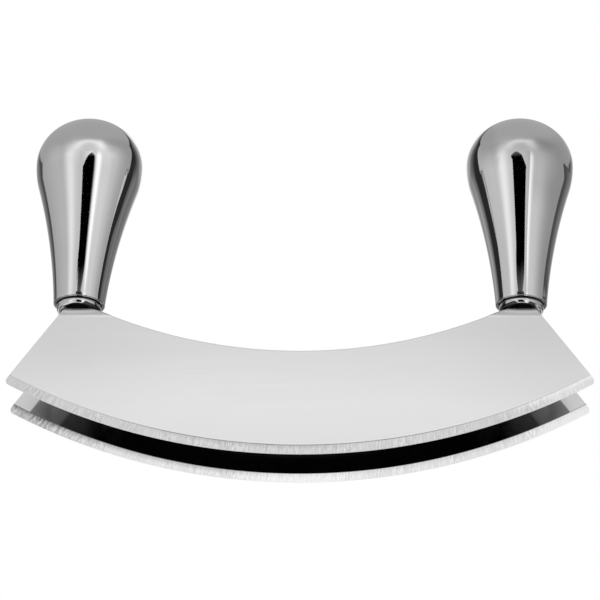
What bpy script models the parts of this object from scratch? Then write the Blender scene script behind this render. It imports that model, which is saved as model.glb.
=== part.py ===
"""Double mezzaluna: two crescent blades side by side, with a pear-shaped steel grip at each end.

Metres, +Z up. The tool stands on its two cutting edges, with the origin midway between their lowest
points. X runs along the blades, and Y from the front blade to the rear one.
"""

from math import asin, atan2, cos, pi, radians, sin, sqrt, tan

import bmesh
import bpy
from mathutils import Matrix, Vector

MM = 0.001

# Clearance between pieces that touch
FIT_GAP = 0.3 * MM

# Blades, cut from flat sheet
BLADE_LENGTH = 230 * MM
BLADE_THICKNESS = 2 * MM
BLADE_SPACING = 28.6 * MM
BLADE_HEIGHT = 43.6 * MM
EDGE_RADIUS = 235 * MM
TOP_RADIUS = 188.7 * MM
TIP_RADIUS = 1.6 * MM
GRIND_HEIGHT = 3.5 * MM
EDGE_LAND = 0.1 * MM

# Tangs, folded inward and then upright. BEND_DROP and SHOULDER_DROP are measured down from
# where the blade's top edge would meet the tang's inner side, and TANG_END_DEPTH from the plug's top.
TANG_FROM_END = 26.9 * MM
TANG_X = BLADE_LENGTH / 2 - TANG_FROM_END
TANG_WIDTH = 9.4 * MM
TANG_INNER_FILLET = 5 * MM
TANG_OUTER_FILLET = 8 * MM
TANG_CORNER_RADIUS = 1.5 * MM
TANG_END_DEPTH = 2 * MM
BEND_DROP = 4.9 * MM
SHOULDER_DROP = 0.8 * MM
BEND_ANGLE = radians(78)
LOWER_BEND_RADIUS = 5 * MM
UPPER_BEND_RADIUS = 3 * MM

# Grips, hollow. Heights along the grip are measured from its mouth.
GRIP_BELLY_RADIUS = 21.6 * MM
GRIP_BELLY_HEIGHT = 61.65 * MM
GRIP_CROWN_HEIGHT = 19.5 * MM
GRIP_SHOULDER_ARC = 36 * MM
GRIP_NECK_ARC = 238.6 * MM
GRIP_MOUTH_RADIUS = 10.3 * MM
GRIP_WALL = 1.4 * MM
GRIP_LIP_RADIUS = 0.3 * MM
MOUTH_CHAMFER = 0.3 * MM

# Each grip leans a little towards +X, about the foot of its tangs
LEFT_LEAN = radians(2.7)
RIGHT_LEAN = radians(0.7)

# Plug in the grip's mouth, the collar on its spigot, and the pin across its middle. The spigot
# ends SPIGOT_ABOVE_FOOT above where the tangs turn upright. The collar is widest at
# COLLAR_BULGE_SHARE of its height below its top. From there it draws in by COLLAR_TAPER_SHARE of
# its wall at the bottom and by COLLAR_TOP_TAPER at the top.
PLUG_LENGTH = 14 * MM
PLUG_CHAMFER = 0.5 * MM
SPIGOT_STEP = 1.6 * MM
SPIGOT_LENGTH = 1.6 * MM
SPIGOT_ABOVE_FOOT = 1.25 * MM
COLLAR_WALL = 1.7 * MM
COLLAR_HEIGHT = 3.25 * MM
COLLAR_BULGE_SHARE = 0.28
COLLAR_TAPER_SHARE = 0.74
COLLAR_TOP_TAPER = 0.15 * MM
COLLAR_INNER_LIP = 0.2 * MM
PIN_RADIUS = 1.5 * MM
PIN_CHAMFER = 0.3 * MM

# How finely round stretches are divided
EDGE_STEP = radians(1)
TOP_ARC_STEPS = 24
FILLET_STEPS = 5
TIP_STEPS = 6
BEND_STEPS = 8
GRIP_OUTSIDE_STEPS = (10, 3, 8)
GRIP_INSIDE_STEPS = (5, 2, 3)
LIP_STEPS = 3
INNER_LIP_STEPS = 2
COLLAR_SIDE_STEPS = 6
TURN_STEPS = 40
HIDDEN_TURN_STEPS = 32
PIN_TURN_STEPS = 16

# How far a cutter reaches past what it cuts
CUT_OVERRUN = 2 * MM

# Points nearer and faces flatter than these count as one. Edges sharper than the last two stay sharp.
SAME_POINT = 0.001 * MM
SAME_PLANE = radians(0.1)
BLADE_SHARP_ANGLE = radians(12)
TURNED_SHARP_ANGLE = radians(30)

# The grip's mouth, above where the tangs turn upright
MOUTH_RISE = SPIGOT_LENGTH + SPIGOT_ABOVE_FOOT


def clear_scene():
    for obj in list(bpy.data.objects):
        bpy.data.objects.remove(obj, do_unlink=True)


def new_collection(name):
    collection = bpy.data.collections.new(name)
    bpy.context.scene.collection.children.link(collection)
    return collection


def steel(name, colour, roughness):
    material = bpy.data.materials.new(name)
    material.use_nodes = True
    shader = material.node_tree.nodes["Principled BSDF"]
    shader.inputs["Base Color"].default_value = (*colour, 1)
    shader.inputs["Metallic"].default_value = 1
    shader.inputs["Roughness"].default_value = roughness
    material.diffuse_color = (*colour, 1)
    return material


def new_object(name, mesh, collection, parent=None, location=(0, 0, 0)):
    obj = bpy.data.objects.new(name, mesh)
    collection.objects.link(obj)
    obj.parent = parent
    obj.location = location
    return obj


def as_cutter(obj):
    obj.hide_render = True
    obj.display_type = "WIRE"
    return obj


def cut(obj, *cutters):
    for cutter in cutters:
        boolean = obj.modifiers.new("Cut by " + cutter.name, "BOOLEAN")
        boolean.operation = "DIFFERENCE"
        boolean.solver = "EXACT"
        boolean.object = cutter


def make_real(obj, material, sharp_angle):
    """Turn the object's modifiers into a plain mesh, smooth but for edges sharper than the angle."""
    bpy.context.view_layer.update()
    evaluated = obj.evaluated_get(bpy.context.evaluated_depsgraph_get())
    mesh = bpy.data.meshes.new_from_object(evaluated)
    obj.modifiers.clear()
    obj.data = mesh
    mesh.name = obj.name
    mesh.materials.clear()
    mesh.materials.append(material)
    mesh.shade_smooth()
    mesh.set_sharp_from_angle(angle=sharp_angle)


def arc(centre, first, last, steps):
    """Points on the shorter arc round centre, from first to last."""
    centre = Vector(centre)
    start = Vector(first) - centre
    end = Vector(last) - centre
    turn = (atan2(end.y, end.x) - atan2(start.y, start.x) + pi) % (2 * pi) - pi
    return [centre + Matrix.Rotation(turn * k / steps, 2) @ start for k in range(steps + 1)]


def rounded_corner(before, corner, after, radius, steps):
    """Points of the arc that rounds the corner between two straight lines."""
    back = (Vector(before) - Vector(corner)).normalized()
    ahead = (Vector(after) - Vector(corner)).normalized()
    half = back.angle(ahead) / 2
    centre = Vector(corner) + (back + ahead).normalized() * radius / sin(half)
    reach = radius / tan(half)
    return arc(centre, Vector(corner) + back * reach, Vector(corner) + ahead * reach, steps)


def turned(name, profile, collection, parent, location, steps, closed=False):
    """A turned solid from (radius, height) points that run down its outer side."""
    mesh = bpy.data.meshes.new(name)
    points = [(radius, 0, height) for radius, height in profile]
    edges = [(k, k + 1) for k in range(len(points) - 1)]
    if closed:
        edges.append((len(points) - 1, 0))
    mesh.from_pydata(points, edges, [])
    obj = new_object(name, mesh, collection, parent, location)
    screw = obj.modifiers.new("Turn", "SCREW")
    screw.steps = steps
    screw.render_steps = steps
    screw.use_merge_vertices = True
    screw.merge_threshold = SAME_POINT
    return obj


def top_edge_height(x):
    """Height of the blade's hollow top edge at a distance from the middle."""
    return BLADE_HEIGHT + TOP_RADIUS - sqrt(TOP_RADIUS**2 - x**2)


def tang_fold():
    """The folded tang's middle line: (height in the flat sheet, inward, up, angle) at each fold."""
    inward = BLADE_SPACING / 2 - (BLADE_THICKNESS + FIT_GAP) / 2
    both_bends = (LOWER_BEND_RADIUS + UPPER_BEND_RADIUS) * (1 - cos(BEND_ANGLE))
    straight = (inward - both_bends) / sin(BEND_ANGLE)
    start = top_edge_height(TANG_X - TANG_WIDTH / 2) - BEND_DROP
    folds = []
    for k in range(BEND_STEPS + 1):
        angle = BEND_ANGLE * k / BEND_STEPS
        across = LOWER_BEND_RADIUS * (1 - cos(angle))
        up = start + LOWER_BEND_RADIUS * sin(angle)
        folds.append((start + LOWER_BEND_RADIUS * angle, across, up, angle))
    flat, across, up, angle = folds[-1]
    flat += straight
    across += straight * sin(BEND_ANGLE)
    up += straight * cos(BEND_ANGLE)
    for k in range(BEND_STEPS + 1):
        angle = BEND_ANGLE * (1 - k / BEND_STEPS)
        further = UPPER_BEND_RADIUS * (cos(angle) - cos(BEND_ANGLE))
        higher = UPPER_BEND_RADIUS * (sin(BEND_ANGLE) - sin(angle))
        folds.append((flat + UPPER_BEND_RADIUS * (BEND_ANGLE - angle), across + further, up + higher, angle))
    flat, across, up, angle = folds[-1]
    upright = MOUTH_RISE + PLUG_LENGTH - TANG_END_DEPTH
    folds.append((flat + upright, across, up + upright, 0))
    return folds


TANG_FOLDS = tang_fold()
TANG_FOOT_HEIGHT = TANG_FOLDS[-2][2]
TANG_TOP_IN_SHEET = TANG_FOLDS[-1][0]


def folded(flat_height, across_sheet):
    """(inward, up) of a point of the flat sheet once its tangs are folded."""
    if flat_height <= TANG_FOLDS[0][0]:
        return across_sheet, flat_height
    places = [
        (flat, inward + across_sheet * cos(angle), up - across_sheet * sin(angle))
        for flat, inward, up, angle in TANG_FOLDS
    ]
    for (low, *here), (high, *there) in zip(places, places[1:]):
        if flat_height <= high:
            share = (flat_height - low) / (high - low)
            return [a + (b - a) * share for a, b in zip(here, there)]
    return places[-1][1:]


def blade_outline():
    """The flat sheet's outline, with the tangs not yet folded: (along, height) points."""
    tip = Vector((TIP_RADIUS - BLADE_LENGTH / 2, 0))
    tip.y = EDGE_RADIUS - sqrt((EDGE_RADIUS - TIP_RADIUS) ** 2 - tip.x**2)
    tip_angle = asin(-tip.x / (EDGE_RADIUS - TIP_RADIUS))
    angles = [k * EDGE_STEP for k in range(round(tip_angle / EDGE_STEP))] + [tip_angle]
    edge = [Vector((-EDGE_RADIUS * sin(a), EDGE_RADIUS * (1 - cos(a)))) for a in angles]

    # The slanted end is the line from the tang's shoulder that touches the tip's rounding.
    inner_x = -TANG_X + TANG_WIDTH / 2
    outer_x = -TANG_X - TANG_WIDTH / 2
    shoulder = Vector((outer_x, top_edge_height(inner_x) - SHOULDER_DROP))
    to_tip = tip - shoulder
    slant = Matrix.Rotation(-asin(TIP_RADIUS / to_tip.length), 2) @ to_tip.normalized()
    end_foot = shoulder + slant * sqrt(to_tip.length**2 - TIP_RADIUS**2)

    outer_top = Vector((outer_x, TANG_TOP_IN_SHEET))
    inner_top = Vector((inner_x, TANG_TOP_IN_SHEET))

    # The inner fillet touches the tang's side and the hollow top edge.
    fillet_x = inner_x + TANG_INNER_FILLET
    hollow_centre = Vector((0, BLADE_HEIGHT + TOP_RADIUS))
    drop = sqrt((TOP_RADIUS - TANG_INNER_FILLET) ** 2 - fillet_x**2)
    fillet = Vector((fillet_x, hollow_centre.y - drop))
    fillet_end = hollow_centre + (fillet - hollow_centre).normalized() * TOP_RADIUS
    fillet_start = Vector((inner_x, fillet.y))

    left = edge[:-1]
    left += arc(tip, edge[-1], end_foot, TIP_STEPS)
    left += rounded_corner(end_foot, shoulder, outer_top, TANG_OUTER_FILLET, FILLET_STEPS)
    left += rounded_corner(shoulder, outer_top, inner_top, TANG_CORNER_RADIUS, FILLET_STEPS)
    left += rounded_corner(outer_top, inner_top, fillet_start, TANG_CORNER_RADIUS, FILLET_STEPS)
    left += arc(fillet, fillet_start, fillet_end, FILLET_STEPS)
    left += arc(hollow_centre, fillet_end, (0, BLADE_HEIGHT), TOP_ARC_STEPS)[1:]
    right = [Vector((-point.x, point.y)) for point in reversed(left[1:-1])]
    return left + right


def sheet_blank(name, collection):
    """The flat sheet as a mesh, its outline in XY and its thickness along Z."""
    curve = bpy.data.curves.new(name, "CURVE")
    curve.dimensions = "2D"
    curve.fill_mode = "BOTH"
    curve.extrude = BLADE_THICKNESS / 2
    outline = blade_outline()
    spline = curve.splines.new("POLY")
    spline.points.add(len(outline) - 1)
    spline.use_cyclic_u = True
    for point, place in zip(spline.points, outline):
        point.co = (place.x, place.y, 0, 1)
    guide = new_object(name + "_outline", curve, collection)
    bpy.context.view_layer.update()
    evaluated = guide.evaluated_get(bpy.context.evaluated_depsgraph_get())
    mesh = bpy.data.meshes.new_from_object(evaluated)
    bpy.data.objects.remove(guide, do_unlink=True)
    mesh.name = name
    return mesh


def fold_blank(mesh, side):
    """Fold the blank's tangs towards the other blade and let each follow its grip's lean."""
    sheet = bmesh.new()
    sheet.from_mesh(mesh)
    bmesh.ops.remove_doubles(sheet, verts=sheet.verts, dist=SAME_POINT)
    bmesh.ops.dissolve_limit(sheet, angle_limit=SAME_PLANE, verts=sheet.verts, edges=sheet.edges)
    for flat, *_ in TANG_FOLDS[:-1]:
        everything = sheet.verts[:] + sheet.edges[:] + sheet.faces[:]
        bmesh.ops.bisect_plane(sheet, geom=everything, plane_co=(0, flat, 0), plane_no=(0, 1, 0))
    for vert in sheet.verts:
        along, flat, across_sheet = vert.co
        inward, up = folded(flat, across_sheet)
        if up > TANG_FOOT_HEIGHT - SAME_POINT:
            lean = LEFT_LEAN if along < 0 else RIGHT_LEAN
            foot = -TANG_X if along < 0 else TANG_X
            beside = along - foot
            above = up - TANG_FOOT_HEIGHT
            along = foot + beside * cos(lean) + above * sin(lean)
            up = TANG_FOOT_HEIGHT + above * cos(lean) - beside * sin(lean)
        vert.co = (along, -side * inward, up)
    bmesh.ops.recalc_face_normals(sheet, faces=sheet.faces)
    sheet.to_mesh(mesh)
    sheet.free()


def grinding_wheel(name, y, collection):
    """A ring whose V-shaped inner groove grinds both sides of a cutting edge."""
    flank = (BLADE_THICKNESS - EDGE_LAND) / 2 / GRIND_HEIGHT
    groove_bottom = EDGE_RADIUS + EDGE_LAND / 2 / flank
    groove_mouth = EDGE_RADIUS - GRIND_HEIGHT - CUT_OVERRUN
    half_width = (groove_bottom - groove_mouth) * flank
    outside = EDGE_RADIUS + CUT_OVERRUN
    profile = [
        (outside, half_width),
        (outside, -half_width),
        (groove_mouth, -half_width),
        (groove_bottom, 0),
        (groove_mouth, half_width),
    ]
    steps = round(2 * pi / EDGE_STEP)
    wheel = turned(name, profile, collection, None, (0, y, EDGE_RADIUS), steps, closed=True)
    wheel.rotation_euler.x = pi / 2
    return as_cutter(wheel)


def blade(name, side, pin_holes, material, parts, cutters):
    """side is -1 for the front blade and 1 for the rear one."""
    y = side * BLADE_SPACING / 2
    mesh = sheet_blank(name, parts)
    fold_blank(mesh, side)
    obj = new_object(name, mesh, parts, location=(0, y, 0))
    cut(obj, grinding_wheel(name + "_wheel", y, cutters), *pin_holes)
    make_real(obj, material, BLADE_SHARP_ANGLE)


def grip_profile(inset, crown_steps, shoulder_steps, neck_steps):
    """The grip's half outline moved inward by inset, from the top down to the mouth's level."""
    crown = []
    for k in range(crown_steps):
        angle = pi / 2 * (1 - k / crown_steps)
        across = (GRIP_BELLY_RADIUS - inset) * cos(angle)
        crown.append(Vector((across, GRIP_BELLY_HEIGHT + (GRIP_CROWN_HEIGHT - inset) * sin(angle))))

    # The neck's hollow arc has its centre outside. It touches the shoulder's arc and passes
    # through the mouth's edge.
    shoulder = Vector((GRIP_BELLY_RADIUS - GRIP_SHOULDER_ARC, GRIP_BELLY_HEIGHT))
    mouth = Vector((GRIP_MOUTH_RADIUS, 0))
    apart = (shoulder - mouth).length
    reach = GRIP_SHOULDER_ARC + GRIP_NECK_ARC
    along = (GRIP_NECK_ARC**2 - reach**2 + apart**2) / (2 * apart)
    towards = (shoulder - mouth) / apart
    outward = Vector((towards.y, -towards.x))
    neck = mouth + towards * along + outward * sqrt(GRIP_NECK_ARC**2 - along**2)

    meeting = shoulder + (neck - shoulder).normalized() * (GRIP_SHOULDER_ARC - inset)
    belly = Vector((GRIP_BELLY_RADIUS - inset, GRIP_BELLY_HEIGHT))
    mouth_inset = Vector((neck.x - sqrt((GRIP_NECK_ARC + inset) ** 2 - neck.y**2), 0))
    side = arc(shoulder, belly, meeting, shoulder_steps)[:-1]
    return crown + side + arc(neck, meeting, mouth_inset, neck_steps)


def grip_shell(name, parts, axis, material):
    outer = grip_profile(0, *GRIP_OUTSIDE_STEPS)
    inner = grip_profile(GRIP_WALL, *GRIP_INSIDE_STEPS)
    lip_inner = inner[-1] + Vector((MOUTH_CHAMFER, 0))
    lip_radius = min(GRIP_LIP_RADIUS, 0.9 * (GRIP_WALL - MOUTH_CHAMFER))
    lip = rounded_corner(outer[-2], outer[-1], lip_inner, lip_radius, LIP_STEPS)
    chamfer = [lip_inner, inner[-1] + Vector((0, MOUTH_CHAMFER))]
    profile = outer[:-1] + lip + chamfer + inner[-2::-1]
    obj = turned(name, profile, parts, axis, (0, 0, MOUTH_RISE), TURN_STEPS)
    make_real(obj, material, TURNED_SHARP_ANGLE)


def plug_radius():
    return grip_profile(GRIP_WALL, *GRIP_INSIDE_STEPS)[-1].x - FIT_GAP


def plug(name, parts, axis, cutters, material):
    radius = plug_radius()
    spigot = radius - SPIGOT_STEP
    profile = [
        (0, PLUG_LENGTH),
        (radius - PLUG_CHAMFER, PLUG_LENGTH),
        (radius, PLUG_LENGTH - PLUG_CHAMFER),
        (radius, 0),
        (spigot, 0),
        (spigot, -SPIGOT_LENGTH),
        (0, -SPIGOT_LENGTH),
    ]
    obj = turned(name, profile, parts, axis, (0, 0, MOUTH_RISE), HIDDEN_TURN_STEPS)
    cut(obj, *cutters)
    make_real(obj, material, TURNED_SHARP_ANGLE)


def collar(name, parts, axis, material):
    """The ring on the plug's spigot, its outer side bulging and curving in below, and open below."""
    inside = plug_radius() - SPIGOT_STEP + FIT_GAP
    outside = inside + COLLAR_WALL
    top = -FIT_GAP
    bottom = top - COLLAR_HEIGHT
    bulge = top - COLLAR_BULGE_SHARE * COLLAR_HEIGHT
    taper = COLLAR_TAPER_SHARE * COLLAR_WALL
    side = []
    for k in range(COLLAR_SIDE_STEPS + 1):
        angle = pi / 2 * k / COLLAR_SIDE_STEPS
        side.append((outside - taper * (1 - cos(angle)), bulge - (bulge - bottom) * sin(angle)))
    inner_radius = min(COLLAR_INNER_LIP, 0.5 * (COLLAR_WALL - taper))
    inner_lip = rounded_corner(side[-1], (inside, bottom), (inside, top), inner_radius, INNER_LIP_STEPS)
    profile = [(outside - COLLAR_TOP_TAPER, top), *side, *inner_lip, (inside, top)]
    obj = turned(name, profile, parts, axis, (0, 0, MOUTH_RISE), TURN_STEPS, closed=True)
    make_real(obj, material, TURNED_SHARP_ANGLE)


def cross_pin(name, parts, axis, material):
    half = plug_radius() - FIT_GAP
    profile = [
        (0, half),
        (PIN_RADIUS - PIN_CHAMFER, half),
        (PIN_RADIUS, half - PIN_CHAMFER),
        (PIN_RADIUS, PIN_CHAMFER - half),
        (PIN_RADIUS - PIN_CHAMFER, -half),
        (0, -half),
    ]
    obj = turned(name, profile, parts, axis, (0, 0, MOUTH_RISE + PLUG_LENGTH / 2), PIN_TURN_STEPS)
    obj.rotation_euler.x = pi / 2
    make_real(obj, material, TURNED_SHARP_ANGLE)


def pin_hole_cutter(name, cutters, axis):
    radius = PIN_RADIUS + FIT_GAP
    half = plug_radius() + CUT_OVERRUN
    profile = [(0, half), (radius, half), (radius, -half), (0, -half)]
    obj = turned(name, profile, cutters, axis, (0, 0, MOUTH_RISE + PLUG_LENGTH / 2), PIN_TURN_STEPS)
    obj.rotation_euler.x = pi / 2
    return as_cutter(obj)


def slot_cutter(name, cutters, axis):
    """The slot that takes both tangs, right through the plug."""
    across = TANG_WIDTH + 2 * FIT_GAP
    thick = 2 * BLADE_THICKNESS + 3 * FIT_GAP
    length = PLUG_LENGTH + SPIGOT_LENGTH + 2 * CUT_OVERRUN
    middle = MOUTH_RISE + (PLUG_LENGTH - SPIGOT_LENGTH) / 2
    box = bmesh.new()
    bmesh.ops.create_cube(box, size=1, matrix=Matrix.Diagonal((across, thick, length, 1)))
    mesh = bpy.data.meshes.new(name)
    box.to_mesh(mesh)
    box.free()
    return as_cutter(new_object(name, mesh, cutters, axis, (0, 0, middle)))


def grip(side_name, side, lean, finishes, parts, cutters):
    """One end's handle, collar, plug and pin on a leaning axis. Returns the pin hole's cutter."""
    polished, hidden = finishes
    foot = (side * TANG_X, 0, TANG_FOOT_HEIGHT)
    axis = new_object(side_name + "_grip_axis", None, parts, location=foot)
    axis.rotation_euler.y = lean
    hole = pin_hole_cutter(side_name + "_pin_hole", cutters, axis)
    slot = slot_cutter(side_name + "_tang_slot", cutters, axis)
    grip_shell(side_name + "_handle", parts, axis, polished)
    collar(side_name + "_collar", parts, axis, polished)
    plug(side_name + "_plug", parts, axis, (slot, hole), hidden)
    cross_pin(side_name + "_tang_pin", parts, axis, hidden)
    return hole


def main():
    clear_scene()
    parts = new_collection("double_mezzaluna")
    cutters = new_collection("cutters")
    satin = steel("satin_blade_steel", (0.62, 0.62, 0.62), 0.28)
    polished = steel("polished_steel", (0.66, 0.66, 0.66), 0.08)
    turned_steel = steel("turned_steel", (0.5, 0.5, 0.5), 0.35)
    finishes = (polished, turned_steel)
    pin_holes = [
        grip("left", -1, LEFT_LEAN, finishes, parts, cutters),
        grip("right", 1, RIGHT_LEAN, finishes, parts, cutters),
    ]
    blade("front_blade", -1, pin_holes, satin, parts, cutters)
    blade("rear_blade", 1, pin_holes, satin, parts, cutters)


main()
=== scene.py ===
"""Looks of the double mezzaluna: satin blades with a ground edge, polished grips and collars."""

from math import atan2, cos, degrees, exp, pi, radians, sin, sqrt, tan

import bmesh
import bpy
from mathutils import Matrix, Vector


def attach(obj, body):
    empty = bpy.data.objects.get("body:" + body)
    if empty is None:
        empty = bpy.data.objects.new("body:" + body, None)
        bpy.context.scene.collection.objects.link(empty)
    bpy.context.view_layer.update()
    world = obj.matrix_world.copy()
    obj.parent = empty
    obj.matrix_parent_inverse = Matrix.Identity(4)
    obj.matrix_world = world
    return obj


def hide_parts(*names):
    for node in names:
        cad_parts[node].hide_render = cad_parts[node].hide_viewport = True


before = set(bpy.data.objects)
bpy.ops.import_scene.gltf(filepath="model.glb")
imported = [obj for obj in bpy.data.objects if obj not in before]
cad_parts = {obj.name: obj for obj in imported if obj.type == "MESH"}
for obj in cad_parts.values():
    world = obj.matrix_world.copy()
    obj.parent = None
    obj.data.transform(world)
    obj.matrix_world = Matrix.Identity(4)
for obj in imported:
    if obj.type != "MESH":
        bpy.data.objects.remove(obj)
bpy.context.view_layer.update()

MM = 0.001

# The frame's sizes that the finer pieces follow
EDGE_RADIUS = 235 * MM
GRIND_HEIGHT = 3.5 * MM
GRIND_START = EDGE_RADIUS - GRIND_HEIGHT
BLADE_HEIGHT = 43.6 * MM
TOP_RADIUS = 188.7 * MM
TANG_X = 88.1 * MM
TANG_FOOT_HEIGHT = 67.404 * MM
MOUTH_RISE = 2.85 * MM
LEANS = {"left": radians(2.7), "right": radians(0.7)}
SIDES = {"left": -1, "right": 1}
GRIP_BELLY_RADIUS = 21.6 * MM
GRIP_BELLY_HEIGHT = 61.65 * MM
GRIP_CROWN_HEIGHT = 19.5 * MM
GRIP_SHOULDER_ARC = 36 * MM
GRIP_NECK_ARC = 238.6 * MM
GRIP_MOUTH_RADIUS = 10.3 * MM
GRIP_WALL = 1.4 * MM
GRIP_LIP_RADIUS = 0.3 * MM
MOUTH_CHAMFER = 0.3 * MM
SPIGOT_STEP = 1.6 * MM
FIT_GAP = 0.3 * MM
COLLAR_WALL = 1.7 * MM
COLLAR_HEIGHT = 3.25 * MM
COLLAR_BULGE_SHARE = 0.28
COLLAR_TAPER_SHARE = 0.74
COLLAR_TOP_TAPER = 0.15 * MM
COLLAR_INNER_LIP = 0.2 * MM

# The finer pieces. A round one stays SKIN_INSET inside the faceted one's corners.
SKIN_INSET = 0.03 * MM
COLLAR_TOP_LIP = 0.05 * MM
TURN_STEPS = 96
TURN_CREASE = radians(35)
EDGE_ROUNDING = 0.3 * MM
BLADE_CREASE = radians(12)

# Polish. These tones are painted by position to match the photo, and aren't the steel's own.
# The tones below are painted reflections and shade. A grip's shoulder is painted a share darker in
# patches, so far outward of the tang and so high, in mm.
POLISH_TONE = 0.63
SHOULDER_SHADE_PATCHES = {
    "left": [(-0.08, (1, 4, 7, 11), (121, 127, 133, 137))],
    "right": [
        (-0.13, (2, 6, 10, 15), (106, 117, 131, 136)),
        (-0.12, (-18, -14, -12, -8), (122, 130, 145, 149)),
    ],
}
# How much higher a collar's painted shade reaches beside its front, and how far outward of the
# tang, in mm
COLLAR_SIDE_SHADE = {
    "left": [(1.15, (-9.6, -8.4, -3.5, -1.5))],
    "right": [(1.15, (-9.6, -8.4, -3.5, -1.5)), (0.9, (2, 3.2, 5.5, 7))],
}

# Studio. Directions are in degrees, and azimuth 0 is the camera's side.
STUDIO_CENTRE = (0, 0, 0.11)
TENT_DISTANCE = 8
TENT_LOWEST = -86
FRONT_FOOT = -13
FLAG_DISTANCE = 1.43
CORNER_CARD_DISTANCE = 0.15
CORNER_EYE_HEIGHT = 0.13
# Outlines seen from the grip, as (elevation, first azimuth, last azimuth)
CORNER_CARDS = {
    "left": [
        (-6, -13, -9.6), (-3, -13, -7.6), (2, -15, -4.8), (6, -17.5, -1.8), (9, -17.5, 1.2),
        (11.5, -17.5, 4.6), (13.5, -17.5, 8.5), (16, -17.5, 12),
    ],
    "right": [
        (-22, 9.5, 21), (-14, 9.5, 21), (-10, 12, 21), (-8, 12.5, 21), (-5, 11, 21), (2, 6.6, 21),
        (6, 4.6, 21), (9, 2.6, 21), (11.5, -0.4, 21), (13.5, -5, 21), (16, -9, 21),
    ],
}
# A middle card's place, its front edge as (height, depth), the glow of its lower part as (depth,
# glow) and the glow of its far top, with all lengths in mm
MIDDLE_CARDS = {
    "left": {
        "x": 3.5,
        "front": [
            (60, -8), (100, -9), (108, -11), (113, -9), (120, -5), (147, 0), (180, 10), (200, 12),
        ],
        "across": [
            (0, 0.19), (17, 0.19), (24, 0.165), (38, 0.27), (55, 0.18), (80, 0.25), (250, 0.28),
        ],
        "far_top": 0.8,
    },
    "right": {
        "x": 4.5,
        "front": [
            (60, -1), (100, -2), (110, -7), (116, -6), (122, 1), (147, 4), (180, 11), (200, 12),
        ],
        "across": [
            (0, 0.2), (30, 0.2), (43, 0.29), (55, 0.44), (66, 0.46), (107, 0.38), (150, 0.34),
            (250, 0.34),
        ],
        "far_top": 0.3,
    },
}
MIDDLE_CARD_LENGTH = 250
MIDDLE_CARD_FOOT = 60
MIDDLE_CARD_EDGE_GLOW = 0.03


# Shader graphs

class Shader:
    """A material's or the world's node tree, with short ways to add what it needs."""

    def __init__(self, tree):
        self.tree = tree
        tree.nodes.clear()

    def node(self, kind, links=None, **settings):
        node = self.tree.nodes.new("ShaderNode" + kind)
        for key, value in settings.items():
            setattr(node, key, value)
        for socket, value in (links or {}).items():
            target = node.inputs[socket]
            if isinstance(value, bpy.types.NodeSocket):
                self.tree.links.new(value, target)
            else:
                target.default_value = value
        return node

    def math(self, operation, *values):
        return self.node("Math", dict(enumerate(values)), operation=operation).outputs[0]

    def plus(self, value, *others):
        for other in others:
            value = self.math("ADD", value, other)
        return value

    def minus(self, first, second):
        return self.math("SUBTRACT", first, second)

    def times(self, value, *others):
        for other in others:
            value = self.math("MULTIPLY", value, other)
        return value

    def length(self, across, up):
        return self.math("SQRT", self.plus(self.times(across, across), self.times(up, up)))

    def vector(self, operation, *values):
        return self.node("VectorMath", dict(enumerate(values)), operation=operation).outputs[0]

    def parts(self, vector):
        return self.node("SeparateXYZ", {0: vector}).outputs

    def mix(self, factor, first, second):
        return self.node("Mix", {0: factor, 2: first, 3: second}).outputs[0]

    def spread(self, value, low, high, to_low=0.0, to_high=1.0):
        """value from low..high to to_low..to_high, with soft ends."""
        links = {
            "Value": value, "From Min": low, "From Max": high, "To Min": to_low, "To Max": to_high,
        }
        return self.node("MapRange", links, interpolation_type="SMOOTHSTEP").outputs["Result"]

    def spread_mm(self, value, low, high, to_low=0.0, to_high=1.0):
        """The same for a length, with low and high in mm."""
        return self.spread(value, low * MM, high * MM, to_low, to_high)

    def window(self, value, rise, full, fall, gone):
        """1 between full and fall and 0 outside rise and gone, in mm."""
        rising = self.spread_mm(value, rise, full)
        return self.times(rising, self.spread_mm(value, fall, gone, 1, 0))

    def place(self):
        """The point on the surface, in metres."""
        return self.node("TexCoord").outputs["Object"]

    def scaled(self, vector, scale):
        return self.node("Mapping", {"Vector": vector, "Scale": scale}).outputs["Vector"]

    def noise(self, vector, scale, detail=2.0, roughness=0.5):
        links = {"Vector": vector, "Scale": scale, "Detail": detail, "Roughness": roughness}
        return self.node("TexNoise", links).outputs["Fac"]

    def grey(self, value):
        return self.node("CombineColor", {0: value, 1: value, 2: value}).outputs["Color"]

    def bump(self, height, distance, normal=None):
        links = {"Height": height, "Distance": distance}
        if normal is not None:
            links["Normal"] = normal
        return self.node("Bump", links).outputs["Normal"]

    def metal(self, tone, roughness, normal, anisotropic=0.0, tangent=None):
        links = {
            "Base Color": self.grey(tone), "Metallic": 1.0, "Roughness": roughness,
            "Anisotropic": anisotropic, "Normal": normal,
        }
        if tangent is not None:
            links["Tangent"] = tangent
        return self.node("BsdfPrincipled", links).outputs[0]

    def output(self, surface):
        kind = "OutputWorld" if isinstance(self.tree.id_data, bpy.types.World) else "OutputMaterial"
        self.node(kind, {"Surface": surface})


def new_material(name):
    material = bpy.data.materials.new(name)
    material.use_nodes = True
    return material, Shader(material.node_tree)


def add_object(name, data):
    obj = bpy.data.objects.new(name, data)
    bpy.context.scene.collection.objects.link(obj)
    return obj


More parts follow.
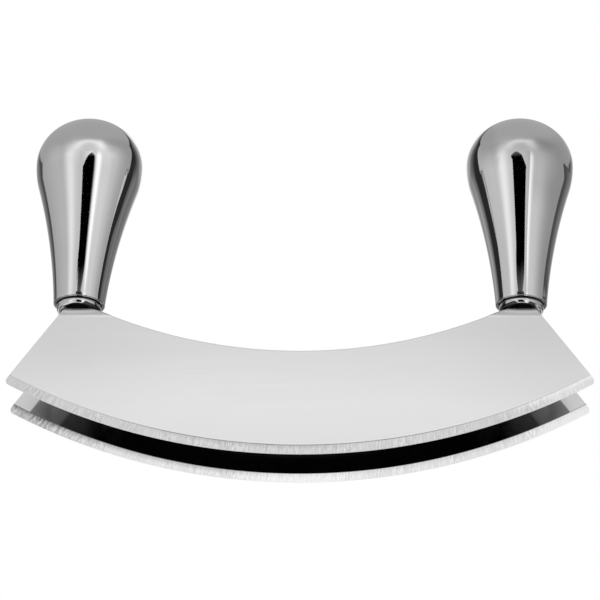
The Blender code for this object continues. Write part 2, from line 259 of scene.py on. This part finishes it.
def grip_painted_light(s, side_name, y, z, from_middle, outward):
    """How much lighter or darker each part of a grip is painted, as a share: painted reflections
    and shade.

    Lighter on the side towards the other grip, lighter on the left belly's front and darker on the
    right one's, and painted shade on patches of the shoulders.
    """
    reach = 12 * MM
    inward = s.spread(from_middle, TANG_X - reach, TANG_X + reach, 0.08, -0.08)
    inward = s.times(inward, s.spread_mm(z, 122, 140, 1, 0))
    belly = s.window(z, 122, 130.5, 131.5, 135)
    belly = s.times(belly, s.spread_mm(y, -20, -12, -0.12 * SIDES[side_name], 0))
    shares = s.plus(inward, belly)
    for share, across, up in SHOULDER_SHADE_PATCHES[side_name]:
        patch = s.times(s.window(outward, *across), s.window(z, *up))
        shares = s.plus(shares, s.times(patch, s.spread_mm(y, -10, -3, share, 0)))
    return shares


def collar_painted_shade(s, side_name, x, y, z, outward):
    """How much painted shade darkens each part of a collar, as a share; below 0 it is a painted
    highlight.
    """
    lean = LEANS[side_name]
    aside = s.times(s.minus(x, SIDES[side_name] * TANG_X), sin(lean))
    height = s.plus(s.times(s.minus(z, TANG_FOOT_HEIGHT), cos(lean)), aside)
    height = s.plus(height, s.spread_mm(y, -9.3, -7, -0.36 * MM, 0.3 * MM))
    for drop, across in COLLAR_SIDE_SHADE[side_name]:
        height = s.minus(height, s.times(s.window(outward, *across), drop * MM))
    # Painted shade underneath and beside the front, and a painted highlight at the outward end
    painted_shade_share = s.spread_mm(outward, 4.8, 6.6, 0.92, -0.5)
    return s.times(painted_shade_share, s.spread_mm(height, -0.15, 0.1, 1, 0))


def polished_steel(name, side_name, collar=False):
    """Mirror polish with faint smears and a hair of waviness.

    A grip carries painted reflections and shade by position. A collar has painted shade underneath
    and beside its front, and a painted highlight at its outward end.
    """
    material, s = new_material(name)
    place = s.place()
    x, y, z = s.parts(place)
    smears = s.noise(s.scaled(place, (1, 1, 0.35)), 90, 3)
    hairs = s.noise(s.scaled(place, (1, 1, 9)), 700)
    ripple = s.noise(place, 1400)
    from_middle = s.math("ABSOLUTE", x)
    outward = s.minus(from_middle, TANG_X)
    # The base tone with the grip's painted reflections and shade
    tone_and_painted_light = s.times(s.plus(grip_painted_light(s, side_name, y, z, from_middle, outward), 1), POLISH_TONE)
    # A collar also gets its painted shade and painted highlight
    if collar:
        tone_and_painted_light = s.times(tone_and_painted_light, s.minus(1, collar_painted_shade(s, side_name, x, y, z, outward)))
    tone = s.plus(s.spread(smears, 0.3, 0.7, -0.012, 0.012), tone_and_painted_light)
    roughness = s.plus(s.spread(smears, 0.35, 0.75, 0.03, 0.06),
                       s.spread(hairs, 0.4, 0.8, 0, 0.015))
    s.output(s.metal(tone, roughness, s.bump(ripple, 0.0022 * MM)))
    return material


def sheet_grain_and_painted_light(s, x, z, from_middle, grain, cloud):
    """Painted light over the sheet's grain: a painted highlight low down and lighter towards the
    middle, and painted shade along the cut top edge and under the grips.
    """
    # Painted highlight: lighter towards the middle, and a painted sheen low down
    middle = s.spread_mm(from_middle, 20, 112, 1, 0)
    painted_sheen = s.spread_mm(z, 58, 8, 0, 0.205)
    tone = s.plus(*(s.spread(noise, 0.3, 0.7, -0.012, 0.012) for noise in (grain, cloud)))
    tone = s.plus(tone, s.plus(s.spread(middle, 0, 1, 0.785, 0.83), painted_sheen))
    from_top = s.length(x, s.minus(z, BLADE_HEIGHT + TOP_RADIUS))
    # Painted shade along the cut top edge
    cut = s.spread(from_top, TOP_RADIUS + 0.1 * MM, TOP_RADIUS + 0.45 * MM, 0.8, 1)
    off_tang = s.minus(from_middle, TANG_X)
    bend = 12
    into_mouth = s.minus(z, s.times(off_tang, off_tang, bend))
    # Painted highlight on the tang's bend, and painted shade where it goes up under the grip
    painted_bend_highlight = s.spread_mm(into_mouth, 59.7, 60.4, 1, 1.22)
    shade = s.times(painted_bend_highlight, s.spread_mm(into_mouth, 61, 62.7, 1, 0.15))
    return s.times(tone, cut, shade)


def inner_face_painted_light(s, z, from_middle, radius):
    """Painted shade: dark, with painted reflections as lighter zones along each slanted end and
    towards the grips.
    """
    end_slant = 0.725
    to_end = s.plus(from_middle, s.times(z, end_slant))
    patch = s.times(s.spread_mm(to_end, 128.5, 129.3), s.spread_mm(radius, 220.8, 222.3))
    tone = s.minus(s.times(patch, 0.55), s.spread_mm(from_middle, 97, 100, 0, 0.15))
    tone = s.plus(s.spread_mm(to_end, 111.8, 113.6, 0.17, 0.42), tone)
    return s.plus(tone, s.spread_mm(z, 54, 59, 0, 0.4))


def grind_marks_and_painted_light(s, along, down, rear, from_middle, marks):
    """Grinding marks over painted reflections and shade: brighter on the rear blade and at the
    right tips, painted darker in patches, and darker and streaky towards the rear blade's left tip.
    along and down are in mm.
    """
    patches = s.noise(s.node("CombineXYZ", {0: along}).outputs[0], 0.09)
    left_tip = s.times(s.spread(along, -112, -70, 1, 0), rear)
    mark_depth = s.plus(s.spread(patches, 0.35, 0.65, 0.04, 0.13), s.times(left_tip, 0.12))
    mark_tone = s.times(s.spread(marks, 0.38, 0.62, -1, 1), mark_depth)
    # Painted shade in patches of the grind
    rear_painted_shade = s.times(s.spread(along, -45, 15, 0.3, 0.12), s.spread(down, 0, 2.4, 1, 0))
    front_painted_shade = s.times(s.spread(along, -80, -30, 0, 0.12), s.spread(along, 0, 30, 1, 0))
    front_painted_shade = s.minus(front_painted_shade, s.spread(along, 78, 96, 0, 0.12))
    front_painted_shade = s.times(front_painted_shade, s.spread(down, 0.2, 2, 1, 0))
    darker = s.plus(s.times(left_tip, 0.25), s.times(rear_painted_shade, rear))
    darker = s.plus(darker, s.times(front_painted_shade, s.minus(1, rear)))
    right_tip = s.spread(along, 80, 112, 0, 0.18)
    brighter = s.plus(right_tip, s.times(s.spread_mm(from_middle, 8, 32, 0.12, 0), rear))
    tone = s.minus(s.plus(s.spread(rear, 0, 1, 0.7, 0.86), brighter), darker)
    return s.plus(mark_tone, tone)


def blade_steel(name):
    """Satin sheet with a fine grain along the blade, painted shade on the inner faces and a
    cross-ground edge.
    """
    material, s = new_material(name)
    place = s.place()
    x, y, z = s.parts(place)
    below = s.minus(EDGE_RADIUS, z)
    radius = s.length(x, below)
    from_middle = s.math("ABSOLUTE", x)
    tangent = s.vector("NORMALIZE", s.node("CombineXYZ", {0: below, 2: x}).outputs[0])
    facing = s.parts(s.node("NewGeometry").outputs["True Normal"])[1]

    # Where each finish and painted tone lies: the ground edge, the inner faces with painted shade,
    # the sheet's cut sides, the rear blade
    ground = s.spread(radius, GRIND_START, GRIND_START + 0.1 * MM)
    inner = s.spread(s.times(facing, s.math("SIGN", y)), -0.3, -0.6)
    cut_side = s.spread(s.math("ABSOLUTE", facing), 0.9, 0.6)
    rear = s.spread_mm(y, -5, 5)

    grain = s.noise(s.scaled(place, (22, 300, 4200)), 1, 4, 0.6)
    cloud = s.noise(s.scaled(place, (9, 9, 60)), 1, 3, 0.6)

    # Grinding marks lie across the edge, a little slanted
    along = s.times(s.math("ARCTAN2", x, below), EDGE_RADIUS / MM)
    down = s.times(s.minus(radius, GRIND_START), 1 / MM)
    slanted = s.plus(along, s.times(down, 0.16))
    coarse = s.node("CombineXYZ", {0: slanted, 1: s.times(down, 0.18)}).outputs[0]
    lines = s.noise(coarse, 1.5)
    fine = s.noise(coarse, 3.0, 2, 0.6)
    marks = s.plus(s.times(lines, 0.65), s.times(fine, 0.35))

    tone = s.mix(inner, sheet_grain_and_painted_light(s, x, z, from_middle, grain, cloud),
                 inner_face_painted_light(s, z, from_middle, radius))
    tone = s.mix(ground, tone, grind_marks_and_painted_light(s, along, down, rear, from_middle, marks))
    off_shoulder = s.math("ABSOLUTE", s.minus(radius, GRIND_START))
    shoulder_tone = s.spread_mm(from_middle, 40, 90, 0.5, 0.8)
    tone = s.times(tone, s.spread_mm(off_shoulder, 0.07, 0.23, shoulder_tone, 1))
    # Painted shade along the top of the rear blade's grind
    rear_line = s.spread(radius, GRIND_START + 0.1 * MM, GRIND_START + 0.32 * MM, 0.65, 0)
    tone = s.times(tone, s.minus(1, s.times(rear_line, ground, rear)))
    # Painted highlight: the cut sides are painted a fifth lighter
    tone = s.mix(cut_side, tone, s.times(tone, 1.2))

    inner_rough = s.plus(s.spread(grain, 0.3, 0.75, 0.03, 0.06),
                         s.spread_mm(from_middle, 78, 86, 0, 0.2))
    rough = s.mix(inner, s.spread(grain, 0.3, 0.75, 0.17, 0.24), inner_rough)
    rough = s.mix(cut_side, rough, 0.5)
    grain_height = s.mix(inner, 0.0016 * MM, 0.0002 * MM)
    sheet = s.metal(tone, rough, s.bump(grain, grain_height), 0.6, tangent)

    # The grind runs across the edge, so it spreads what it reflects along the blade. It is a
    # little rounded towards the edge, which turns it downwards.
    downward = s.vector("ADD", s.node("NewGeometry").outputs["Normal"], (0, 0, -0.11))
    normal = s.bump(marks, 0.02 * MM, s.vector("NORMALIZE", downward))
    grind = s.metal(tone, s.spread(fine, 0.3, 0.7, 0.34, 0.44), normal, 0.9, tangent)
    s.output(s.node("MixShader", {0: ground, 1: sheet, 2: grind}).outputs[0])
    return material


def turned_steel(name):
    """Turned steel with fine tool rings, painted dark as shade inside the collars' mouths."""
    material, s = new_material(name)
    place = s.place()
    rings = s.noise(s.scaled(place, (30, 30, 5200)), 1)
    specks = s.noise(place, 900)
    # Painted dark, so that the plugs read as shade in the collars' mouths
    tone = s.plus(s.spread(specks, 0.3, 0.7, -0.03, 0.03), 0.16)
    s.output(s.metal(tone, s.spread(rings, 0.3, 0.7, 0.3, 0.42), s.bump(rings, 0.004 * MM)))
    return material


# Round pieces, finer than the frame's

def arc(centre, first, last, steps):
    """Points on the shorter arc round centre, from first to last."""
    centre = Vector(centre)
    start = Vector(first) - centre
    end = Vector(last) - centre
    turn = (atan2(end.y, end.x) - atan2(start.y, start.x) + pi) % (2 * pi) - pi
    return [centre + Matrix.Rotation(turn * k / steps, 2) @ start for k in range(steps + 1)]


def rounded_corner(before, corner, after, radius, steps):
    """Points of the arc that rounds the corner between two straight lines."""
    back = (Vector(before) - Vector(corner)).normalized()
    ahead = (Vector(after) - Vector(corner)).normalized()
    half = back.angle(ahead) / 2
    centre = Vector(corner) + (back + ahead).normalized() * radius / sin(half)
    reach = radius / tan(half)
    return arc(centre, Vector(corner) + back * reach, Vector(corner) + ahead * reach, steps)


def grip_profile(inset, crown_steps, shoulder_steps, neck_steps):
    """The grip's half outline moved inward by inset, from the top down to the mouth's level."""
    crown = []
    for k in range(crown_steps):
        angle = pi / 2 * (1 - k / crown_steps)
        across = (GRIP_BELLY_RADIUS - inset) * cos(angle)
        crown.append(Vector((across, GRIP_BELLY_HEIGHT + (GRIP_CROWN_HEIGHT - inset) * sin(angle))))
    shoulder = Vector((GRIP_BELLY_RADIUS - GRIP_SHOULDER_ARC, GRIP_BELLY_HEIGHT))
    mouth = Vector((GRIP_MOUTH_RADIUS, 0))
    apart = (shoulder - mouth).length
    reach = GRIP_SHOULDER_ARC + GRIP_NECK_ARC
    along = (GRIP_NECK_ARC**2 - reach**2 + apart**2) / (2 * apart)
    towards = (shoulder - mouth) / apart
    outward = Vector((towards.y, -towards.x))
    neck = mouth + towards * along + outward * sqrt(GRIP_NECK_ARC**2 - along**2)
    meeting = shoulder + (neck - shoulder).normalized() * (GRIP_SHOULDER_ARC - inset)
    belly = Vector((GRIP_BELLY_RADIUS - inset, GRIP_BELLY_HEIGHT))
    mouth_inset = Vector((neck.x - sqrt((GRIP_NECK_ARC + inset) ** 2 - neck.y**2), 0))
    side = arc(shoulder, belly, meeting, shoulder_steps)[:-1]
    return crown + side + arc(neck, meeting, mouth_inset, neck_steps)


def turned(name, profile, side_name, material, closed=False):
    """A smooth turned piece on the grip's leaning axis, from (radius, height over mouth) points."""
    on_axis = 0.001 * MM
    angles = [2 * pi * k / TURN_STEPS for k in range(TURN_STEPS)]
    circle = [(cos(angle), sin(angle)) for angle in angles]
    mesh = bmesh.new()
    rings = []
    for radius, height in profile:
        if radius < on_axis:
            rings.append([mesh.verts.new((0, 0, height))] * TURN_STEPS)
        else:
            rings.append([mesh.verts.new((radius * u, radius * v, height)) for u, v in circle])
    pairs = list(zip(rings, rings[1:]))
    if closed:
        pairs.append((rings[-1], rings[0]))
    for upper, lower in pairs:
        for k in range(TURN_STEPS):
            n = (k + 1) % TURN_STEPS
            corners = []
            for vert in (upper[k], lower[k], lower[n], upper[n]):
                if vert not in corners:
                    corners.append(vert)
            if len(corners) > 2:
                mesh.faces.new(corners)
    bmesh.ops.recalc_face_normals(mesh, faces=mesh.faces)
    foot = Matrix.Translation((SIDES[side_name] * TANG_X, 0, TANG_FOOT_HEIGHT))
    lean = Matrix.Rotation(LEANS[side_name], 4, "Y")
    mesh.transform(foot @ lean @ Matrix.Translation((0, 0, MOUTH_RISE)))
    data = bpy.data.meshes.new(name)
    mesh.to_mesh(data)
    mesh.free()
    data.shade_smooth()
    data.set_sharp_from_angle(angle=TURN_CREASE)
    data.materials.append(material)
    return add_object(name, data)


def stands_for(obj, node):
    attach(obj, "root")
    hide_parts(node)


def grip_skin(side_name, material):
    outer = grip_profile(SKIN_INSET, crown_steps=30, shoulder_steps=10, neck_steps=30)
    inner = grip_profile(GRIP_WALL, crown_steps=10, shoulder_steps=3, neck_steps=6)
    lip_inner = inner[-1] + Vector((MOUTH_CHAMFER, 0))
    lip = rounded_corner(outer[-2], outer[-1], lip_inner, GRIP_LIP_RADIUS, 8)
    chamfer = [lip_inner, inner[-1] + Vector((0, MOUTH_CHAMFER))]
    profile = outer[:-1] + lip + chamfer + inner[-2::-1]
    skin = turned(side_name + "_handle_polished", profile, side_name, material)
    stands_for(skin, side_name + "_handle")


def collar_skin(side_name, material):
    mouth = grip_profile(GRIP_WALL, crown_steps=5, shoulder_steps=2, neck_steps=3)[-1].x - FIT_GAP
    inside = mouth - SPIGOT_STEP + FIT_GAP
    outside = inside + COLLAR_WALL - SKIN_INSET
    top = -FIT_GAP
    bottom = top - COLLAR_HEIGHT
    bulge = top - COLLAR_BULGE_SHARE * COLLAR_HEIGHT
    taper = COLLAR_TAPER_SHARE * COLLAR_WALL
    upper = []
    lower = []
    steps = 12
    for k in range(steps + 1):
        angle = pi / 2 * k / steps
        lower.append((outside - taper * (1 - cos(angle)), bulge - (bulge - bottom) * sin(angle)))
        rise = (top - bulge) * k / steps
        upper.append((outside - COLLAR_TOP_TAPER * (k / steps) ** 2, bulge + rise))
    top_lip = rounded_corner((inside, top), upper[-1], upper[-2], COLLAR_TOP_LIP, 2)
    inner_lip = rounded_corner(lower[-1], (inside, bottom), (inside, top), COLLAR_INNER_LIP, 4)
    profile = [*top_lip, *upper[-2:0:-1], *lower, *inner_lip, (inside, top)]
    skin = turned(side_name + "_collar_polished", profile, side_name, material, closed=True)
    stands_for(skin, side_name + "_collar")


# Blades, the frame's own shape with its corners eased

def needs_easing(edge):
    """Whether an edge is a corner of the sheet, away from the grind and from the tang's hole."""
    if len(edge.link_faces) != 2 or edge.calc_face_angle() <= radians(50):
        return False
    grind = GRIND_START - 0.5 * MM
    tang = TANG_FOOT_HEIGHT + 2 * MM
    points = [vert.co for vert in edge.verts]
    ground = all(sqrt(p.x**2 + (EDGE_RADIUS - p.z) ** 2) > grind for p in points)
    return not ground and not all(p.z > tang for p in points)


def finished_blade(node, material):
    mesh = bmesh.new()
    mesh.from_mesh(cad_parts[node].data)
    bmesh.ops.remove_doubles(mesh, verts=mesh.verts, dist=0.002 * MM)
    bmesh.ops.dissolve_limit(mesh, angle_limit=radians(0.4), verts=mesh.verts, edges=mesh.edges)
    weight = mesh.edges.layers.float.new("bevel_weight_edge")
    for edge in mesh.edges:
        if needs_easing(edge):
            edge[weight] = 1.0
    data = bpy.data.meshes.new(node + "_finished")
    mesh.to_mesh(data)
    mesh.free()
    data.shade_smooth()
    data.set_sharp_from_angle(angle=BLADE_CREASE)
    data.materials.append(material)
    obj = add_object(node + "_finished", data)
    ease = obj.modifiers.new("Eased corners", "BEVEL")
    ease.limit_method = "WEIGHT"
    ease.width = EDGE_ROUNDING
    ease.segments = 3
    level = obj.modifiers.new("Flat faces stay flat", "WEIGHTED_NORMAL")
    level.keep_sharp = True
    level.weight = 100
    stands_for(obj, node)


# Studio

def soft_step(value, low, high):
    t = min(max((value - low) / (high - low), 0), 1)
    return t * t * (3 - 2 * t)


def hump(value, middle, width):
    return exp(-(((value - middle) / width) ** 2))


def between(value, points):
    """Straight lines through (value, result) points."""
    for (low, first), (high, last) in zip(points, points[1:]):
        if value < high:
            return first + (last - first) * max(value - low, 0) / (high - low)
    return points[-1][1]


def flag_top(azimuth):
    """How high the dark middle of what stands in front reaches."""
    return 16.5 - 0.024 * (azimuth + 3) ** 2


def flag_glow(elevation):
    return 0.13 * soft_step(elevation, 9, 15)


def low_glow(azimuth, elevation):
    """Below the front's foot: a bright table in front, a strip behind, and the floor."""
    side = abs(azimuth)
    on_table = soft_step(elevation, -36, -28)
    table = on_table * (1 - soft_step(side, 75, 110))
    strip = soft_step(elevation, -26, -20) * soft_step(side, 120, 140)
    ground = max(1 - soft_step(elevation, -62, -50), soft_step(side, 85, 115) * (1 - on_table))
    return 0.12 + table + 0.5 * strip + 0.36 * ground


def front_glow(azimuth, elevation):
    """The front and the sides, brightest beside the dark middle and in an arch over it."""
    low = 1 - soft_step(elevation, 14, 34)
    glow = 0.49 - 0.05 * soft_step(azimuth, 10, 60)
    glow += 0.33 * hump(azimuth, -30, 60) * (0.3 + 0.7 * low)
    glow += 0.06 * hump(azimuth, -95, 30) * (0.5 + 0.5 * low)
    glow += (0.4 * hump(azimuth, -39.5, 11) - 0.05 * hump(azimuth, -57, 7)) * low
    glow += 0.7 * hump(azimuth, 22, 5.2) * (1 - soft_step(elevation, 8, 20))
    glow += 0.36 * hump(azimuth, 43, 28) * low
    glow += (0.54 - glow) * soft_step(elevation, 36, 58)

    wide = 28 + (0.35 * max(elevation - 24, 0) if azimuth > 0 else 0)
    round_arch = sqrt((azimuth / wide) ** 2 + (max(elevation - 18, 0) / 16) ** 2)
    arch = 0.42 * hump(round_arch, 1, 0.36) * soft_step(elevation, 15, 26)
    glow += arch * (1 - 0.35 * hump(azimuth, -34, 14))
    glow += 0.1 * hump(azimuth, 0, 34) * hump(elevation, 28, 9)
    glow -= 0.07 * (hump(azimuth, -40, 14) + hump(azimuth, 48, 12)) * hump(elevation, 21, 4)
    glow += 0.2 * hump(azimuth, 26, 9) * hump(elevation, 35, 6)
    glow += 0.1 * hump(azimuth, -34, 12) * hump(elevation, 34, 6)
    return glow


def back_glow(azimuth, elevation):
    """How bright the dim back is in a direction, and how much of it shows there."""
    side = abs(azimuth)
    if azimuth < 0:
        start = 116 + 0.9 * max(16 - elevation, 0)
    else:
        start = 102 + 1.2 * max(16 - elevation, 0) + 23 * soft_step(elevation, 17.5, 20)
    start += 3 * max(elevation - 22, 0)
    shown = soft_step(side, start, start + 3) * (1 - soft_step(elevation, 36, 40))
    glow = 0.1 + 0.17 * soft_step(side, min(start + 8, 136), 140) + 0.35 * soft_step(side, 140, 168)
    glow += 0.45 * soft_step(side, 160, 176) * soft_step(elevation, 14, 22)
    glow *= 0.2 + 0.8 * soft_step(elevation, 0, 9)
    glow += 0.55 * max(soft_step(side, 130, 137) * (1 - soft_step(elevation, -2, 4)),
                       soft_step(side, 148, 162) * (1 - soft_step(elevation, 2, 10)))
    return glow, shown


def tent_glow(azimuth, elevation):
    """How bright the tent is in a direction."""
    if elevation < FRONT_FOOT:
        return low_glow(azimuth, elevation)
    glow = front_glow(azimuth, elevation)
    flag = soft_step(azimuth, -6, -4) * (1 - soft_step(azimuth, 11.5, 16.5))
    flag *= 1 - soft_step(elevation, flag_top(azimuth) - 1, flag_top(azimuth) + 1)
    glow += (flag_glow(elevation) - glow) * flag
    back, shown = back_glow(azimuth, elevation)
    glow += (back - glow) * shown
    return glow + 0.35 * hump(abs(azimuth), 180, 26) * hump(elevation, 30, 7) * (1 - shown)


def point_towards(azimuth, elevation, distance, centre):
    """The point that a direction leads to from centre."""
    azimuth, elevation = radians(azimuth), radians(elevation)
    flat = distance * cos(elevation)
    x, y, z = centre
    return x + flat * sin(azimuth), y - flat * cos(azimuth), z + distance * sin(elevation)


def only_reflected(obj):
    """Seen in reflections alone, as a studio's flags and diffusers are."""
    obj.visible_camera = False
    obj.visible_diffuse = False
    obj.visible_shadow = False
    obj.visible_transmission = False
    obj.visible_volume_scatter = False


def glowing(name):
    """A material that glows as bright as the mesh's own glow attribute says."""
    material, s = new_material(name)
    glow = s.node("Attribute", attribute_name="glow").outputs["Fac"]
    s.output(s.node("Emission", {"Strength": glow}).outputs[0])
    material.cycles.emission_sampling = "NONE"
    return material


def glowing_grid(name, columns, rows, point, glow, material):
    """A grid of points with a brightness at each, both from their column and row."""
    places = [(i, j) for j in range(rows + 1) for i in range(columns + 1)]
    wide = columns + 1
    faces = [(j * wide + i, j * wide + i + 1, (j + 1) * wide + i + 1, (j + 1) * wide + i)
             for j in range(rows) for i in range(columns)]
    mesh = bpy.data.meshes.new(name)
    mesh.from_pydata([point(i, j) for i, j in places], [], faces)
    values = [glow(i, j) for i, j in places]
    mesh.attributes.new("glow", "FLOAT", "POINT").data.foreach_set("value", values)
    mesh.materials.append(material)
    obj = add_object(name, mesh)
    only_reflected(obj)


def studio_tent():
    """All round and overhead, a point at each degree."""
    def direction(i, j):
        return i - 180, TENT_LOWEST + j

    def point(i, j):
        return point_towards(*direction(i, j), TENT_DISTANCE, STUDIO_CENTRE)

    def glow(i, j):
        return tent_glow(*direction(i, j))

    glowing_grid("studio_tent", 360, 90 - TENT_LOWEST, point, glow, glowing("tent_fabric"))


def front_flag():
    """The near part of the dark middle, which each grip sees a little to a different side."""
    columns, rows = 32, 40
    last = 1

    def direction(i, j):
        first = -14.4 - 2.4 * soft_step(j / rows, 0.7, 0.9)
        azimuth = first + (last - first) * i / columns
        return azimuth, FRONT_FOOT + (flag_top(azimuth) - FRONT_FOOT) * j / rows

    def point(i, j):
        return point_towards(*direction(i, j), FLAG_DISTANCE, STUDIO_CENTRE)

    def glow(i, j):
        return flag_glow(direction(i, j)[1])

    glowing_grid("front_flag", columns, rows, point, glow, glowing("black_card"))


def corner_card(side_name):
    """Small pale card near a grip, which rounds the top of the dark stripe on one side.

    It glows as the tent does where the other grip sees it, so that it shows there as little as
    possible.
    """
    columns, rows = 12, 40
    outline = CORNER_CARDS[side_name]
    eyes = {name: Vector((sign * TANG_X, -GRIP_BELLY_RADIUS, CORNER_EYE_HEIGHT))
            for name, sign in SIDES.items()}
    other = eyes["left" if side_name == "right" else "right"]

    def point(i, j):
        t = j / rows * (len(outline) - 1)
        k = min(int(t), len(outline) - 2)
        elevation, first, last = (a + (b - a) * (t - k) for a, b in zip(outline[k], outline[k + 1]))
        azimuth = first + (last - first) * i / columns
        return point_towards(azimuth, elevation, CORNER_CARD_DISTANCE, eyes[side_name])

    def glow(i, j):
        seen = Vector(point(i, j)) - other
        elevation = atan2(seen.z, seen.xy.length)
        return tent_glow(degrees(atan2(seen.x, -seen.y)), degrees(elevation))

    glowing_grid(side_name + "_corner_card", columns, rows, point, glow, glowing("pale_card"))


def middle_card(side_name):
    """A card behind the middle, dark along its front and top, which darkens a grip's inner side."""
    columns, rows = 120, 70
    card = MIDDLE_CARDS[side_name]

    def place(i, j):
        """A point's depth and height, and how high the card reaches there, in mm."""
        behind = MIDDLE_CARD_LENGTH * (i / columns) ** 1.5
        top = 198 + 1.1 * behind
        z = MIDDLE_CARD_FOOT + (top - MIDDLE_CARD_FOOT) * j / rows
        return behind + between(z, card["front"]), z, top

    def point(i, j):
        y, z, _ = place(i, j)
        return card["x"] * MM, y * MM, z * MM

    def glow(i, j):
        y, z, top = place(i, j)
        if side_name == "left":
            dark_to = 5 + 11 * soft_step(z, 106, 118)
            start = soft_step(y, dark_to, dark_to + 14 - 9 * soft_step(z, 100, 110))
        else:
            start = soft_step(y, 20, 32)
        edge = MIDDLE_CARD_EDGE_GLOW
        lower = edge + (between(y, card["across"]) - edge) * start
        inside = 0.14 + 0.1 * soft_step(y, 40, 70)
        inside += 0.22 * soft_step(y, 44, 90) * soft_step(z, 145, 175)
        inside += card["far_top"] * soft_step(y, 110, 190) * soft_step(z, 175, 225)
        rim = 1 - 0.75 * soft_step(z, top - 0.28 * y - 14, top - 0.08 * y - 6)
        upper = edge + inside * rim * soft_step(y, 18, 46)
        return lower + (upper - lower) * soft_step(z, 128, 160)

    glowing_grid(side_name + "_middle_card", columns, rows, point, glow, glowing("grey_card"))


def floor():
    """Pale floor that fades out round the tool and isn't there from below."""
    size = 0.7
    fade_from, fade_to = 0.3, 0.62
    mesh = bpy.data.meshes.new("pale_floor")
    corners = [(-size, -size, 0), (size, -size, 0), (size, size, 0), (-size, size, 0)]
    mesh.from_pydata(corners, [], [(0, 1, 2, 3)])
    material, s = new_material("pale_floor")
    place = s.place()
    away = s.node("VectorMath", {0: place}, operation="LENGTH").outputs["Value"]
    mottle = s.noise(place, 60, 3)
    pale = s.grey(s.spread(mottle, 0.3, 0.7, 0.88, 0.9))
    paint = s.node("BsdfDiffuse", {"Color": pale}).outputs[0]
    clear = s.node("BsdfTransparent").outputs[0]
    under = s.node("NewGeometry").outputs["Backfacing"]
    gone = s.math("MAXIMUM", under, s.spread(away, fade_from, fade_to))
    s.output(s.node("MixShader", {0: gone, 1: paint, 2: clear}).outputs[0])
    mesh.materials.append(material)
    obj = add_object("pale_floor", mesh)
    obj.visible_glossy = False


def white_world():
    """White behind everything and in mirrors, and a softer light on what isn't a mirror."""
    world = bpy.data.worlds.new("white_world")
    bpy.context.scene.world = world
    world.use_nodes = True
    s = Shader(world.node_tree)
    ray = s.node("LightPath").outputs
    through = s.math("MAXIMUM", ray["Is Glossy Ray"], ray["Is Transmission Ray"])
    seen = s.math("MAXIMUM", ray["Is Camera Ray"], through)
    white = (1, 1, 1, 1)
    light = s.node("Background", {"Color": white, "Strength": 0.62}).outputs[0]
    background = s.node("Background", {"Color": white, "Strength": 1.0}).outputs[0]
    s.output(s.node("MixShader", {0: seen, 1: light, 2: background}).outputs[0])


def soft_key():
    """One large lamp, high in front and to the left."""
    place = Vector((-0.5, -0.8, 1.3))
    aim = Vector((0, 0, 0.06))
    data = bpy.data.lights.new("soft_key", "AREA")
    data.shape = "DISK"
    data.size = 1.0
    data.energy = 16
    lamp = add_object("soft_key", data)
    lamp.location = place
    lamp.rotation_euler = (aim - place).to_track_quat("-Z", "Y").to_euler()
    lamp.visible_glossy = False


def camera():
    """Looks up at the tool from below. 25 degrees was chosen, and the rest fitted with it."""
    below = radians(25)
    distance = 1598.95 * MM
    aim = Vector((0, 0, 72.71 * MM))
    focal_pixels = 4011.37
    picture_pixels = 600
    sensor = 36
    data = bpy.data.cameras.new("camera")
    data.sensor_width = sensor
    data.lens = sensor * focal_pixels / picture_pixels
    data.clip_start = 0.05
    data.clip_end = 20
    obj = add_object("camera", data)
    obj.location = aim - distance * Vector((0, cos(below), sin(below)))
    obj.rotation_euler = (pi / 2 + below, 0, 0)
    bpy.context.scene.camera = obj


camera()
blade_finish = blade_steel("satin_steel_blades")
turned_finish = turned_steel("turned_steel_plugs")
for blade_node in ("front_blade", "rear_blade"):
    finished_blade(blade_node, blade_finish)
for side in SIDES:
    grip_skin(side, polished_steel("polished_steel_" + side + "_grip", side))
    collar_skin(side, polished_steel("polished_steel_" + side + "_collar", side, collar=True))
    for hidden in ("_plug", "_tang_pin"):
        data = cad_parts[side + hidden].data
        data.materials.clear()
        data.materials.append(turned_finish)

studio_tent()
front_flag()
for side in SIDES:
    corner_card(side)
for side in SIDES:
    middle_card(side)
floor()
white_world()
soft_key()
bpy.context.scene.view_settings.view_transform = "Standard"
